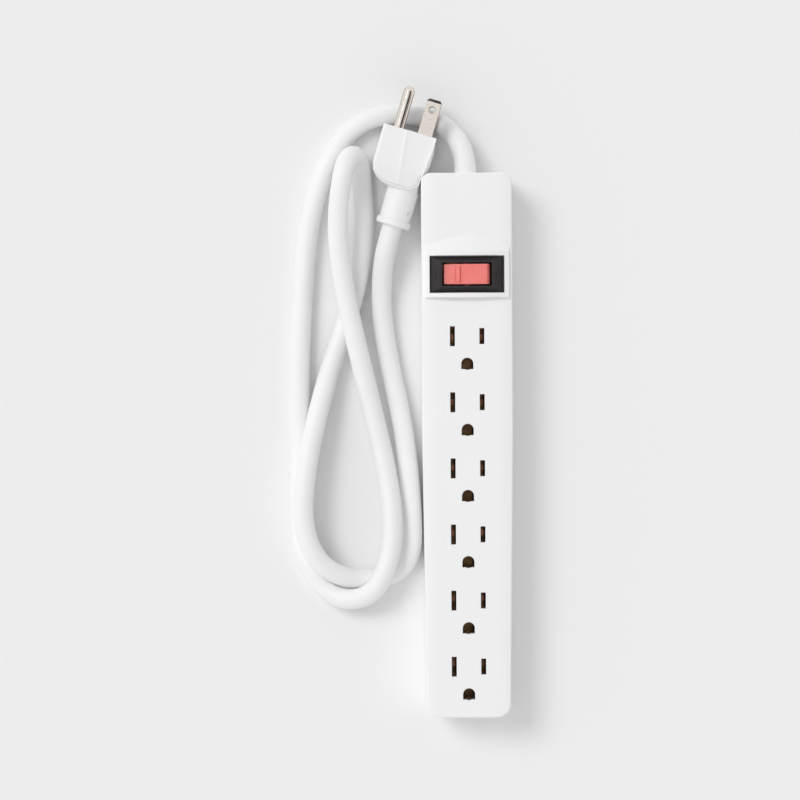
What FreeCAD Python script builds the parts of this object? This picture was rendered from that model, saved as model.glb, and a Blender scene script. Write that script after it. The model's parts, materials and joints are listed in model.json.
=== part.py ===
"""A six-outlet power strip with a lighted rocker switch and breaker, its mains lead and its grounded plug.

All sizes are in millimetres. The origin is at the middle of the underside. +Z is up through the outlet face,
+Y runs along the strip towards the lead, and +X is to the right when the lead is at the top.
"""
import FreeCAD, Part
import math
import os

from FreeCAD import Rotation, Vector

# ---------------------------------------------------------------- housing
LENGTH = 235.0
WIDTH = 39.1
FAR_WIDTH = 35.9          # the sides draw in towards the far end
TAPER_START_Y = 6.0
HEIGHT = 28.0
SPLIT_Z = 14.0            # parting line between the two covers
WALL = 2.2
SKIN = 2.4                # thickness of the outlet face
LEAD_CORNER_R = 4.0
FAR_CORNER_R = 6.0
TOP_EDGE_R = 0.8
CROWN_RUN = 6.6           # the top droops gently over this run at each long side
CROWN_DROP = 0.7
BASE_EDGE_R = 1.4
TONGUE = 1.0              # the lower cover's tongue, inside the upper cover's lip
TONGUE_HEIGHT = 1.8
TONGUE_GAP = 0.15

# ---------------------------------------------------------------- outlets
OUTLETS = 6
FIRST_SLOT_Y = 47.0
PITCH = 28.5
BLADE_X = 6.35            # half the spacing of the two blades
GROUND_DROP = 11.9        # from the blade slots to the ground hole
NEUTRAL_SLOT = 8.6
LIVE_SLOT = 6.9
SLOT_WIDTH = 2.1
GROUND_HOLE_R = 2.6
GROUND_FLAT = 2.3         # from the ground hole's centre to its flat side
WELL_WALL = 1.0
SLOT_EDGE_R = 0.25
WELL_DEPTH = 1.8

# ---------------------------------------------------------------- contacts and busbars
BAR_THICK = 0.8
BAR_WIDTH = 4.4
POLE_BAR_Z = 8.2          # underside of the live and neutral bars
GROUND_BAR_Z = 5.4
BAR_LEAD_Y = 56.5
BAR_FAR_Y = -111.5
LEAF = 0.5
GROUND_LEAF = 0.4
RIVET_R = 0.9
RIVET_HEAD_R = 1.3
GROUND_RIVET_BACK = 4.2   # the ground clip's rivet sits clear of the pin
BARRIER_X = 3.45
BARRIER_TOP = 12.0
RIB_AHEAD = 5.5           # each bar rib stands this far on the lead side of its slots
FAR_RIB_Y = -102.0
PEG_R = 0.9

# ---------------------------------------------------------------- cover screws and wall hangers
SCREW_X = 12.6
SCREW_YS = (109.5, 4.0, -107.5)
SCREW_R = 1.5
SCREW_HEAD_R = 2.8
HEAD_RECESS_R = 3.1
HEAD_SEAT_Z = 4.5
BOSS_TOP_Z = 7.0
PILLAR_R = 2.9
HANGER_Y = 73.5           # plus and minus
HANGER_TOP_Z = 5.2        # room inside for a screw's head
HANGER_ENTRY_R = 4.2
HANGER_SEAT_R = 2.1
HANGER_TRAVEL = 8.0

# ---------------------------------------------------------------- switch
SWITCH_Y = 73.6
GUARD_SIZE = (36.2, 20.2)
GUARD_END_Z = 29.2        # height of the guard at its two short ends
GUARD_MID_Z = 31.9
GUARD_EDGE_R = 0.35
GUARD_RAMP = 7.6          # run of the ramp on the lead side, at mid width
BEZEL_SIZE = (31.8, 15.5)
BEZEL_RIM = (23.4, 11.5)
BEZEL_Z = 28.0
BEZEL_TOP_Z = 31.0
SWITCH_BODY = (27.6, 13.4)
SWITCH_OPENING = (21.3, 10.0)
SWITCH_CAVITY = (25.0, 10.6)
CAVITY_TOP_Z = 24.0
PLATE_Z = 11.2            # underside of the switch's base plate
PLATE_THICK = 1.8
PIVOT_Z = 27.0
ROCKER_WIDTH = 8.7
ROCKER_R = 10.2           # the rocker's ends are turned about its pivot
ROCKER_TOP = 4.2          # its end edges, above the pivot
ROCKER_RIDGE = 5.0
ROCKER_BAR_X = -3.1       # the raised finger bar
BAR_HALF = 0.85
ROCKER_EDGE_R = 0.4
ROCKER_FOOT = 3.5
ROCKER_TILT = 9.0         # at rest the side on -X is pressed
TRUNNION_R = 1.2
TRUNNION_LENGTH = 6.1
BORE_GAP = 0.05
STEM_R = 2.8
STEM_FOOT = 7.0
PLUNGER_R = 1.65
PLUNGER_TIP = 10.3
PLUNGER_TOP = 5.6
SPRING_SEAT = 1.2
LEVER_Z = 15.8            # the lever rocks on a knife edge here
LEVER_HALF = 9.0
LEVER_V = 8.0             # degrees that each arm rises from the middle
LEVER_TILT = 7.0
LEVER_WIDTH = 4.0
CONTACT_X = 7.6
CONTACT_R = 1.5
CONTACT_THICK = 0.7
CONTACT_GAP = 0.06        # between the closed contacts
STRIP_THICK = 0.5
STRIP_END_X = 12.3
TAB_X = 9.0
TAB_WIDTH = 4.8
TAB_THICK = 0.8
TAB_FOOT_Z = 6.2
LAMP_R = 1.4
LAMP_Y = 3.7
LAMP_Z = 18.0
WIRE_R = 1.5
THIN_WIRE_R = 0.9
BARE_R = 0.9
THIN_BARE_R = 0.5
BARE_LENGTH = 3.5

# ---------------------------------------------------------------- lead
CORD_R = 4.4
JACKET_END_Y = 97.5       # the stripped end of the jacket, inside the housing
CORD_START_Y = 113.0      # inside the bushing, where the free cord begins
CORD_Z = 14.0
CLAMP_YS = (99.0, 104.0)
CLAMP_HALF = 11.5
CLAMP_SCREW_X = 8.3
CLAMP_TOP_Z = 19.8
BUSHING_FLANGE_R = 7.2
BUSHING_R = 5.8
BUSHING_FLANGE = 2.8
PLUG_YAW = 16.8           # degrees that the plug's axis turns from +Y towards +X
PLUG_PITCH = 4.0          # degrees that its pins point upwards

# The route of the lead's middle line: out of the strip, down and round to the left, up and over in a tight
# fold, and back under itself to the plug.
CORD_ROUTE = [
    (0, CORD_START_Y, CORD_Z), (0, 123.5, 14), (-3, 133, 10.2), (-9.5, 140.3, 4.5), (-19.5, 144.2, 4.5),
    (-31, 145.4, 4.5), (-44.7, 142.6, 4.5), (-56, 132, 4.5), (-63.5, 117, 4.5), (-69, 96, 4.5),
    (-71.5, 67.5, 4.5), (-73, 37, 4.5), (-73, 6, 4.5), (-73.5, -24.5, 4.5), (-72.5, -44, 4.5),
    (-68.5, -56, 4.5), (-60.5, -65, 6), (-52, -68, 9), (-42.5, -65.5, 12.5), (-36.5, -57, 14.5),
    (-33, -45.5, 14.5), (-32.5, -29.5, 12), (-35.5, -9, 9.5), (-41, 15, 10), (-47, 40, 14.5),
    (-52, 62, 14.5), (-55, 81, 16.5), (-56, 100, 19.5), (-53, 121.5, 21.5), (-49, 127.5, 13),
    (-45.5, 123, 4.5), (-45, 111.5, 4.5), (-44, 94.5, 4.5), (-47.5, 69.5, 4.5), (-53.5, 52, 4.5),
    (-60, 32.5, 6), (-66, 10.5, 11), (-70, -9, 13.5), (-72, -27.5, 14), (-70, -42, 13.5),
    (-64.5, -51.5, 12), (-56.5, -57, 9), (-48, -59, 5.5), (-37.5, -58.5, 4.5), (-28.5, -54.5, 4.5),
    (-24, -46, 4.5), (-24, -32, 4.5), (-25.5, -10.5, 4.5), (-28.5, 12.5, 4.5), (-34, 36.5, 4.5),
    (-37, 57, 4.5), (-37, 70, 6), (-35.8, 81.5, 11), (-33.6, 89.9, 12.4), (-31.6, 96.6, 12.9),
]

# ------------------------------------------------------------ plug, from the lead's end along its own axis
PLUG_FACE = 40.5
PLUG_GROUND_SIDE = 15.9   # the plug reaches this far on the ground pin's side of the lead
PLUG_BLADE_SIDE = 7.8
PLUG_HALF_HEIGHT = 13.0
PLUG_BACK = 15.5          # where the body draws in to its neck
PLUG_NECK_R = 6.8
PLUG_FLANGE_R = 7.6
PLUG_FLANGE = 2.8
PIN_BLADE_Y = -2.4
BLADE_LENGTH = 15.9
BLADE_WIDTH = 6.35
BLADE_THICK = 1.5
BLADE_HOLE_R = 1.6
BLADE_HOLE_BACK = 4.6     # from the blade's tip
GROUND_PIN_R = 2.4
GROUND_PIN_LENGTH = 18.7
PIN_ROOT_R = 1.9
PIN_ROOT = 12.0           # length of each pin inside the plug

X_AXIS = Vector(1, 0, 0)
Y_AXIS = Vector(0, 1, 0)
Z_AXIS = Vector(0, 0, 1)


# ================================================================ plain shapes
def box(x0, x1, y0, y1, z0, z1):
    return Part.makeBox(x1 - x0, y1 - y0, z1 - z0, Vector(x0, y0, z0))


def centred_box(size, y, z0, z1):
    return box(-size[0] / 2, size[0] / 2, y - size[1] / 2, y + size[1] / 2, z0, z1)


def rod(radius, start, direction, length):
    return Part.makeCylinder(radius, length, Vector(*start), direction)


def prism(points, along):
    """A closed outline of 3-D points, extruded."""
    outline = Part.makePolygon([Vector(*p) for p in points + points[:1]])
    return Part.Face(outline).extrude(along)


def joined(shapes):
    return shapes[0].multiFuse(shapes[1:]).removeSplitter() if len(shapes) > 1 else shapes[0]


def group(shapes):
    return Part.makeCompound(shapes)


def turned(shape, centre, axis, degrees):
    copy = shape.copy()
    copy.rotate(Vector(*centre), axis, degrees)
    return copy


def edges_where(shape, test):
    return [e for e in shape.Edges if test(e)]


def at_height(z):
    return lambda e: abs(e.BoundBox.ZMin - z) < 1e-4 and abs(e.BoundBox.ZMax - z) < 1e-4


def export(name, shape):
    shape.exportStep("parts/" + name + ".step")
    print(f"{name}: {len(shape.Solids)} solid(s), valid {shape.isValid()}, {shape.Volume:.1f} mm3")


def swept_path(points):
    """Straight runs joined by tangent arcs, each as large as its two runs allow."""
    route = [Vector(*p) for p in points]
    edges, radii, start = [], [], route[0]
    for before, corner, after in zip(route, route[1:], route[2:]):
        back, ahead = before - corner, after - corner
        cut = 0.45 * min(back.Length, ahead.Length)
        back.normalize()
        ahead.normalize()
        enter, leave = corner + back * cut, corner + ahead * cut
        half_turn = (math.pi - back.getAngle(ahead)) / 2
        radius = cut / math.tan(half_turn)
        middle = (back + ahead).normalize()
        crown = corner + middle * (radius / math.cos(half_turn) - radius)
        edges.append(Part.LineSegment(start, enter).toShape())
        edges.append(Part.Arc(enter, crown, leave).toShape())
        radii.append(radius)
        start = leave
    edges.append(Part.LineSegment(start, route[-1]).toShape())
    return Part.Wire(edges), radii


def swept_tube(points, radius):
    path, radii = swept_path(points)
    direction = Vector(*points[1]) - Vector(*points[0])
    ring = Part.Wire(Part.makeCircle(radius, Vector(*points[0]), direction))
    return path.makePipeShell([ring], True, False), path.Length, radii


# ================================================================ the two covers
def plan_block(inset, z0, z1):
    """The strip's outline, drawn in by inset, between two heights."""
    half, far = WIDTH / 2 - inset, FAR_WIDTH / 2 - inset
    end = LENGTH / 2 - inset
    outline = [
        (-half, end, z0), (-far, -end, z0), (far, -end, z0), (half, end, z0),
    ]
    outline.insert(1, (-half, TAPER_START_Y, z0))
    outline.insert(4, (half, TAPER_START_Y, z0))
    block = prism(outline, Vector(0, 0, z1 - z0))
    for y_end, radius in ((end, LEAD_CORNER_R - inset), (-end, FAR_CORNER_R - inset)):
        corners = edges_where(block, lambda e: e.BoundBox.ZLength > 1e-3
                              and abs(e.BoundBox.YMin - y_end) < 1e-4 and abs(e.BoundBox.YMax - y_end) < 1e-4)
        block = block.makeFillet(max(radius, 0.8), corners)
    return block


def slot_ys():
    return [FIRST_SLOT_Y - PITCH * i for i in range(OUTLETS)]


def ground_opening(y, grow, z0, z1):
    """A round hole with a flat on the far side."""
    radius = GROUND_HOLE_R + grow
    hole = rod(radius, (0, y, z0), Z_AXIS, z1 - z0)
    square = box(-radius, radius, y - GROUND_FLAT - grow, y, z0, z1)
    return hole.fuse(square)


def outlet_openings(y, grow, z0, z1):
    """The three openings of one outlet, each larger by grow all round."""
    half_width = SLOT_WIDTH / 2 + grow
    pieces = [ground_opening(y - GROUND_DROP, grow, z0, z1)]
    for x, length in ((-BLADE_X, NEUTRAL_SLOT), (BLADE_X, LIVE_SLOT)):
        half = length / 2 + grow
        pieces.append(box(x - half_width, x + half_width, y - half, y + half, z0, z1))
    return pieces


def switch_guard():
    """A hood round the switch: arched across, ramped towards the lead, steep towards the outlets."""
    half, low = GUARD_SIZE[0] / 2, HEIGHT - SKIN / 2
    near, far = SWITCH_Y - GUARD_SIZE[1] / 2, SWITCH_Y + GUARD_SIZE[1] / 2
    left, mid, right = (Vector(x, near, z) for x, z in
                        ((-half, GUARD_END_Z), (0, GUARD_MID_Z), (half, GUARD_END_Z)))
    foot = [Vector(half, near, low), Vector(-half, near, low)]
    section = Part.Wire([
        Part.Arc(left, mid, right).toShape(),
        Part.LineSegment(right, foot[0]).toShape(),
        Part.LineSegment(foot[0], foot[1]).toShape(),
        Part.LineSegment(foot[1], left).toShape(),
    ])
    face = Part.Face(section)
    hood = face.extrude(Vector(0, GUARD_SIZE[1], 0))
    face.translate(Vector(0, GUARD_SIZE[1] - 1, 0))
    ramp = face.extrude(Vector(0, GUARD_RAMP + 1, (HEIGHT - GUARD_MID_Z) * (GUARD_RAMP + 1) / GUARD_RAMP))
    above_face = box(-half - 1, half + 1, near, far + GUARD_RAMP + 2, low, GUARD_MID_Z + 1)
    return joined([hood, ramp.common(above_face)])


def screw_places():
    return [(side * SCREW_X, y) for y in SCREW_YS for side in (-1, 1)]


def crown():
    """Everything under a top that is flat in the middle and droops at the two long sides."""
    half, end = WIDTH / 2, LENGTH / 2 + 1
    radius = (CROWN_RUN ** 2 + CROWN_DROP ** 2) / (2 * CROWN_DROP)
    part_way = radius - math.sqrt(radius ** 2 - (CROWN_RUN / 2) ** 2)
    def point(x, z):
        return Vector(x, -end, z)
    flat = half - CROWN_RUN
    corners = [point(half, SPLIT_Z - 1), point(-half, SPLIT_Z - 1)]
    section = Part.Wire([
        Part.LineSegment(point(-flat, HEIGHT), point(flat, HEIGHT)).toShape(),
        Part.Arc(point(flat, HEIGHT), point(flat + CROWN_RUN / 2, HEIGHT - part_way),
                 point(half, HEIGHT - CROWN_DROP)).toShape(),
        Part.LineSegment(point(half, HEIGHT - CROWN_DROP), corners[0]).toShape(),
        Part.LineSegment(corners[0], corners[1]).toShape(),
        Part.LineSegment(corners[1], point(-half, HEIGHT - CROWN_DROP)).toShape(),
        Part.Arc(point(-half, HEIGHT - CROWN_DROP), point(-flat - CROWN_RUN / 2, HEIGHT - part_way),
                 point(-flat, HEIGHT)).toShape(),
    ])
    return Part.Face(section).extrude(Vector(0, 2 * end, 0))


def outer_top_edge(edge):
    """True along the outline of the top, and not where its flat and its drooping strips meet."""
    centre, box_of = edge.CenterOfMass, edge.BoundBox
    return box_of.ZMin > HEIGHT - 1.2 and (abs(centre.x) > WIDTH / 2 - 3 or abs(centre.y) > LENGTH / 2 - 3)


def top_cover():
    shell = plan_block(0, SPLIT_Z, HEIGHT).common(crown())
    shell = shell.makeFillet(TOP_EDGE_R, edges_where(shell, outer_top_edge))
    hollow = plan_block(WALL, SPLIT_Z - 1, HEIGHT - SKIN)
    lip = plan_block(WALL - TONGUE - TONGUE_GAP, SPLIT_Z - 1, SPLIT_Z + TONGUE_HEIGHT + 0.2)
    shell = shell.cut(hollow).cut(lip)
    under = HEIGHT - SKIN
    wells = [p for y in slot_ys() for p in outlet_openings(y, WELL_WALL, under - WELL_DEPTH, under)]
    pillars = [rod(PILLAR_R, (x, y, BOSS_TOP_Z), Z_AXIS, under - BOSS_TOP_Z) for x, y in screw_places()]
    shell = joined([shell, switch_guard()] + wells + pillars)
    slots = [p for y in slot_ys() for p in outlet_openings(y, 0, under - WELL_DEPTH - 1, HEIGHT + 1)]
    pilots = [rod(SCREW_R, (x, y, BOSS_TOP_Z - 1), Z_AXIS, 13) for x, y in screw_places()]
    seat = centred_box((BEZEL_SIZE[0] + 0.5, BEZEL_SIZE[1] + 0.5), SWITCH_Y, BEZEL_Z, GUARD_MID_Z + 1)
    opening = centred_box((SWITCH_BODY[0] + 0.3, SWITCH_BODY[1] + 0.3), SWITCH_Y, under - 1, BEZEL_Z + 1)
    exit_hole = rod(BUSHING_R, (0, LENGTH / 2 - WALL - 1, CORD_Z), Y_AXIS, WALL + 2)
    shell = shell.cut(slots + pilots + [seat, opening, exit_hole])
    rims = edges_where(shell, lambda e: at_height(HEIGHT)(e) and abs(e.CenterOfMass.x) < 9 and e.Length < 9)
    shell = shell.makeFillet(SLOT_EDGE_R, rims)
    arches = edges_where(shell, lambda e: e.BoundBox.ZMax > GUARD_MID_Z - 0.1 and e.BoundBox.XLength > 20)
    return shell.makeFillet(GUARD_EDGE_R, arches)


def keyhole(y):
    """An entry hole, and a narrow seat on its lead side."""
    z0, height = -1, HANGER_TOP_Z + 1
    entry = rod(HANGER_ENTRY_R, (0, y, z0), Z_AXIS, height)
    seat = rod(HANGER_SEAT_R, (0, y + HANGER_TRAVEL, z0), Z_AXIS, height)
    neck = box(-HANGER_SEAT_R, HANGER_SEAT_R, y, y + HANGER_TRAVEL, z0, z0 + height)
    return entry.multiFuse([seat, neck])


def bar_rib(y):
    """A cross rib that carries the three bars, with a locating peg for each."""
    half = 0.8
    sides = [box(x0, x1, y - half, y + half, WALL, POLE_BAR_Z) for x0, x1 in
             ((-9.5, -BARRIER_X), (BARRIER_X, 9.5))]
    middle = box(-BARRIER_X, BARRIER_X, y - half, y + half, WALL, GROUND_BAR_Z)
    pegs = [rod(PEG_R, (x, y, z - 1), Z_AXIS, 1 + BAR_THICK + 0.7) for x, z in
            ((-BLADE_X, POLE_BAR_Z), (0, GROUND_BAR_Z), (BLADE_X, POLE_BAR_Z))]
    return sides + [middle] + pegs


def rib_ys():
    return [y + RIB_AHEAD for y in slot_ys()] + [FAR_RIB_Y]


def bottom_cover():
    tray = plan_block(0, 0, SPLIT_Z)
    tray = tray.makeFillet(BASE_EDGE_R, edges_where(tray, at_height(0)))
    tongue = plan_block(WALL - TONGUE, SPLIT_Z - 1, SPLIT_Z + TONGUE_HEIGHT)
    tray = tray.fuse(tongue).cut(plan_block(WALL, WALL, SPLIT_Z + TONGUE_HEIGHT + 1))
    bosses = [rod(HEAD_RECESS_R + 1.2, (x, y, 0.5), Z_AXIS, BOSS_TOP_Z - 0.5) for x, y in screw_places()]
    barriers = [box(x - 0.5, x + 0.5, BAR_FAR_Y, BAR_LEAD_Y, WALL - 0.5, BARRIER_TOP) for x in
                (-BARRIER_X, BARRIER_X)]
    saddle = box(-CLAMP_HALF, CLAMP_HALF, CLAMP_YS[0], CLAMP_YS[1], WALL - 0.5, CORD_Z - 0.4)
    ribs = [p for y in rib_ys() for p in bar_rib(y)]
    tray = joined([tray, saddle] + bosses + barriers + ribs)
    shafts = [rod(SCREW_R + 0.1, (x, y, -1), Z_AXIS, BOSS_TOP_Z + 2) for x, y in screw_places()]
    recesses = [rod(HEAD_RECESS_R, (x, y, -1), Z_AXIS, HEAD_SEAT_Z + 1) for x, y in screw_places()]
    groove = rod(CORD_R, (0, CLAMP_YS[0] - 1, CORD_Z), Y_AXIS, 7)
    clamp_pilots = [rod(SCREW_R, (x, sum(CLAMP_YS) / 2, 6), Z_AXIS, CORD_Z)
                    for x in (-CLAMP_SCREW_X, CLAMP_SCREW_X)]
    exit_hole = rod(BUSHING_R, (0, LENGTH / 2 - WALL - 1, CORD_Z), Y_AXIS, WALL + 2)
    hangers = [keyhole(-HANGER_Y), keyhole(HANGER_Y)]
    return tray.cut(shafts + recesses + clamp_pilots + hangers + [groove, exit_hole])


def pan_screw(x, y, seat_z, shank, up):
    """A cross-recessed screw. Its head bears on seat_z, and its shank runs up or down from there."""
    sign = 1 if up else -1
    head = rod(SCREW_HEAD_R, (x, y, seat_z), Z_AXIS * -sign, 2.0)
    rim = edges_where(head, at_height(seat_z - 2.0 * sign))
    head = head.makeFillet(0.9, rim)
    body = head.fuse(rod(SCREW_R, (x, y, seat_z), Z_AXIS * sign, shank))
    top = seat_z - 2.0 * sign
    z0, z1 = sorted((top - 0.5 * sign, top + 1.1 * sign))
    cross = [box(x - along, x + along, y - across, y + across, z0, z1)
             for along, across in ((1.6, 0.35), (0.35, 1.6))]
    return body.cut(cross)


# ================================================================ contacts
def leaf_contact(x, y0, y1, base_z, base_half, leaf, profile):
    """A folded strip: a flat base and two mirrored leaves. The profile lists the inner half-gap by height."""
    base = box(x - base_half - leaf, x + base_half + leaf, y0, y1, base_z, base_z + leaf)
    leaves = []
    for side in (-1, 1):
        inner = [(x + side * gap, y0, base_z + rise) for gap, rise in profile]
        outer = [(x + side * (gap + leaf), y0, base_z + rise) for gap, rise in reversed(profile)]
        leaves.append(prism(inner + outer, Vector(0, y1 - y0, 0)))
    return joined([base] + leaves)


def rivet(x, y, under_z, stack):
    """Through a bar and a contact's base, with a head on each side."""
    shank = rod(RIVET_R, (x, y, under_z), Z_AXIS, stack)
    low = rod(RIVET_HEAD_R, (x, y, under_z - 0.5), Z_AXIS, 0.5)
    high = rod(RIVET_HEAD_R, (x, y, under_z + stack), Z_AXIS, 0.4)
    return joined([shank, low, high])


def pole_clip(x, y, half_width):
    profile = [(1.6, 0), (1.6, 3.0), (0.6, 9.5), (1.4, 12.5)]
    clip = leaf_contact(x, y - half_width, y + half_width, POLE_BAR_Z + BAR_THICK, 1.6, LEAF, profile)
    return clip.cut(rod(RIVET_R, (x, y, POLE_BAR_Z), Z_AXIS, 3))


def ground_clip(y):
    profile = [(2.2, 0), (2.2, 13.5), (2.8, 16.0)]
    base_z = GROUND_BAR_Z + BAR_THICK
    clip = leaf_contact(0, y - 3.0, y + 3.0, base_z, 2.2, GROUND_LEAF, profile)
    tail = box(-2.0, 2.0, y - 6.2, y - 2.9, base_z, base_z + GROUND_LEAF)
    rivet_hole = rod(RIVET_R, (0, y - GROUND_RIVET_BACK, GROUND_BAR_Z), Z_AXIS, 3)
    return clip.fuse(tail).removeSplitter().cut(rivet_hole)


def busbar(x, under_z, rivet_ys):
    strip = box(x - BAR_WIDTH / 2, x + BAR_WIDTH / 2, BAR_FAR_Y, BAR_LEAD_Y, under_z, under_z + BAR_THICK)
    rivet_holes = [rod(RIVET_R, (x, y, under_z - 1), Z_AXIS, 3) for y in rivet_ys]
    peg_holes = [rod(PEG_R + 0.1, (x, y, under_z - 1), Z_AXIS, 3) for y in rib_ys()]
    return strip.cut(rivet_holes + peg_holes)


def export_contacts():
    ground_ys = [y - GROUND_DROP for y in slot_ys()]
    ground_rivets = [y - GROUND_RIVET_BACK for y in ground_ys]
    export("live_busbar", busbar(BLADE_X, POLE_BAR_Z, slot_ys()))
    export("neutral_busbar", busbar(-BLADE_X, POLE_BAR_Z, slot_ys()))
    export("ground_busbar", busbar(0, GROUND_BAR_Z, ground_rivets))
    rivets = []
    for i, y in enumerate(slot_ys(), start=1):
        export(f"live_clip_{i}", pole_clip(BLADE_X, y, 3.0))
        export(f"neutral_clip_{i}", pole_clip(-BLADE_X, y, 3.8))
        export(f"ground_clip_{i}", ground_clip(y - GROUND_DROP))
        rivets += [rivet(x, y, POLE_BAR_Z, BAR_THICK + LEAF) for x in (-BLADE_X, BLADE_X)]
        rivets.append(rivet(0, y - GROUND_DROP - GROUND_RIVET_BACK, GROUND_BAR_Z, BAR_THICK + GROUND_LEAF))
    export("contact_rivets", group(rivets))


# ================================================================ switch
def bezel():
    """A picture frame: four sloping sides that rise to a flat rim."""
    def ring(size, z):
        x, y = size[0] / 2, size[1] / 2
        corners = [(-x, -y), (x, -y), (x, y), (-x, y)]
        points = [Vector(cx, SWITCH_Y + cy, z) for cx, cy in corners]
        return Part.makePolygon(points + points[:1])
    shoulder = BEZEL_Z + 0.7
    slab = centred_box(BEZEL_SIZE, SWITCH_Y, BEZEL_Z, shoulder)
    crown = Part.makeLoft([ring(BEZEL_SIZE, shoulder), ring(BEZEL_RIM, BEZEL_TOP_Z)], True, True)
    return slab.fuse(crown)


def switch_marks():
    """The on bar and the off ring, raised on the bezel's two end slopes."""
    run, rise = (BEZEL_SIZE[0] - BEZEL_RIM[0]) / 2, BEZEL_TOP_Z - BEZEL_Z - 0.7
    slope = math.atan2(rise, run)
    x, z = (BEZEL_SIZE[0] + BEZEL_RIM[0]) / 4, BEZEL_TOP_Z - rise / 2
    foot = (x - 0.5 * math.sin(slope), SWITCH_Y, z - 0.5 * math.cos(slope))
    normal = Vector(math.sin(slope), 0, math.cos(slope))
    ring = rod(1.5, foot, normal, 0.7).cut(rod(1.0, foot, normal, 0.7))
    bar = box(-x - 0.35, -x + 0.35, SWITCH_Y - 1.6, SWITCH_Y + 1.6, z - 0.5, z + 0.2)
    return [turned(bar, (-x, SWITCH_Y, z), Y_AXIS, -math.degrees(slope)), ring]


def snap_catches():
    """Wedges on the two ends that spring out under the outlet face."""
    y0, under = SWITCH_Y - 2.5, HEIGHT - SKIN - 0.15
    root, reach = SWITCH_BODY[0] / 2, SWITCH_BODY[0] / 2 + 0.9
    return [prism([(side * root, y0, under), (side * reach, y0, under), (side * root, y0, under - 3.0)],
                  Vector(0, 5.0, 0)) for side in (-1, 1)]


def switch_housing():
    body = centred_box(SWITCH_BODY, SWITCH_Y, PLATE_Z, BEZEL_Z)
    shell = joined([body, bezel()] + switch_marks() + snap_catches())
    cavity = centred_box(SWITCH_CAVITY, SWITCH_Y, PLATE_Z - 1, CAVITY_TOP_Z)
    opening = centred_box(SWITCH_OPENING, SWITCH_Y, CAVITY_TOP_Z - 1, BEZEL_TOP_Z + 1)
    reach = TRUNNION_LENGTH + 0.1
    bore = rod(TRUNNION_R + BORE_GAP, (0, SWITCH_Y - reach, PIVOT_Z), Y_AXIS, 2 * reach)
    return shell.cut([cavity, opening, bore])


def rocker_profile():
    """The rocker from the side, level: turned ends about the pivot and a top that is slightly roofed."""
    y = SWITCH_Y - ROCKER_WIDTH / 2
    def point(x, rise):
        return Vector(x, y, PIVOT_Z + rise)
    def on_arc(rise):
        return math.sqrt(ROCKER_R ** 2 - rise ** 2)
    top_x, foot_x = on_arc(ROCKER_TOP), on_arc(ROCKER_FOOT)
    ridge_left, ridge_right = point(ROCKER_BAR_X - 0.6, ROCKER_RIDGE), point(ROCKER_BAR_X + 0.6, ROCKER_RIDGE)
    return Part.Wire([
        Part.Arc(point(top_x, ROCKER_TOP), point(ROCKER_R, 0), point(foot_x, -ROCKER_FOOT)).toShape(),
        Part.LineSegment(point(foot_x, -ROCKER_FOOT), point(-foot_x, -ROCKER_FOOT)).toShape(),
        Part.Arc(point(-foot_x, -ROCKER_FOOT), point(-ROCKER_R, 0), point(-top_x, ROCKER_TOP)).toShape(),
        Part.LineSegment(point(-top_x, ROCKER_TOP), ridge_left).toShape(),
        Part.LineSegment(ridge_left, ridge_right).toShape(),
        Part.LineSegment(ridge_right, point(top_x, ROCKER_TOP)).toShape(),
    ])


def rocker():
    body = Part.Face(rocker_profile()).extrude(Vector(0, ROCKER_WIDTH, 0))
    long_edges = edges_where(body, lambda e: e.BoundBox.YLength < 1e-4
                             and e.BoundBox.ZMin > PIVOT_Z + ROCKER_TOP - 0.01)
    body = body.makeFillet(ROCKER_EDGE_R, long_edges)
    bar_y, bar_top = ROCKER_WIDTH / 2 - 0.9, PIVOT_Z + ROCKER_RIDGE
    bar = box(ROCKER_BAR_X - BAR_HALF, ROCKER_BAR_X + BAR_HALF, SWITCH_Y - bar_y, SWITCH_Y + bar_y,
              PIVOT_Z + 3, bar_top + 0.6)
    grooves = [box(x, x + 0.45, SWITCH_Y - bar_y, SWITCH_Y + bar_y, bar_top - 0.45, bar_top + 1)
               for x in (ROCKER_BAR_X - BAR_HALF - 0.45, ROCKER_BAR_X + BAR_HALF)]
    stem = rod(STEM_R, (0, SWITCH_Y, PIVOT_Z - STEM_FOOT), Z_AXIS, STEM_FOOT)
    pins = rod(TRUNNION_R, (0, SWITCH_Y - TRUNNION_LENGTH, PIVOT_Z), Y_AXIS, 2 * TRUNNION_LENGTH)
    bore = rod(PLUNGER_R + 0.08, (0, SWITCH_Y, PIVOT_Z - STEM_FOOT - 1), Z_AXIS, STEM_FOOT + 1 + SPRING_SEAT)
    return tilted(joined([body.cut(grooves), bar, stem, pins]).cut(bore))


def tilted(shape):
    """From level to the rocker's rest position."""
    return turned(shape, (0, SWITCH_Y, PIVOT_Z), Y_AXIS, -ROCKER_TILT)


def plunger():
    tip = PIVOT_Z - PLUNGER_TIP
    length = PLUNGER_TIP - PLUNGER_TOP - PLUNGER_R
    pin = rod(PLUNGER_R, (0, SWITCH_Y, tip + PLUNGER_R), Z_AXIS, length)
    nose = Part.makeSphere(PLUNGER_R, Vector(0, SWITCH_Y, tip + PLUNGER_R))
    return tilted(pin.fuse(nose).removeSplitter())


def plunger_spring():
    """A coil spring between the plunger and its seat in the rocker."""
    wire_r, coil_r = 0.2, 1.3
    height = PLUNGER_TOP + SPRING_SEAT - 3 * wire_r
    turns = 7
    helix = Part.makeHelix(height / turns, height, coil_r)
    ring = Part.Wire(Part.makeCircle(wire_r, Vector(coil_r, 0, 0), Y_AXIS))
    coil = Part.Wire(helix.Edges).makePipeShell([ring], True, True)
    coil.translate(Vector(0, SWITCH_Y, PIVOT_Z - PLUNGER_TOP + 1.5 * wire_r))
    return tilted(coil)


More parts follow.
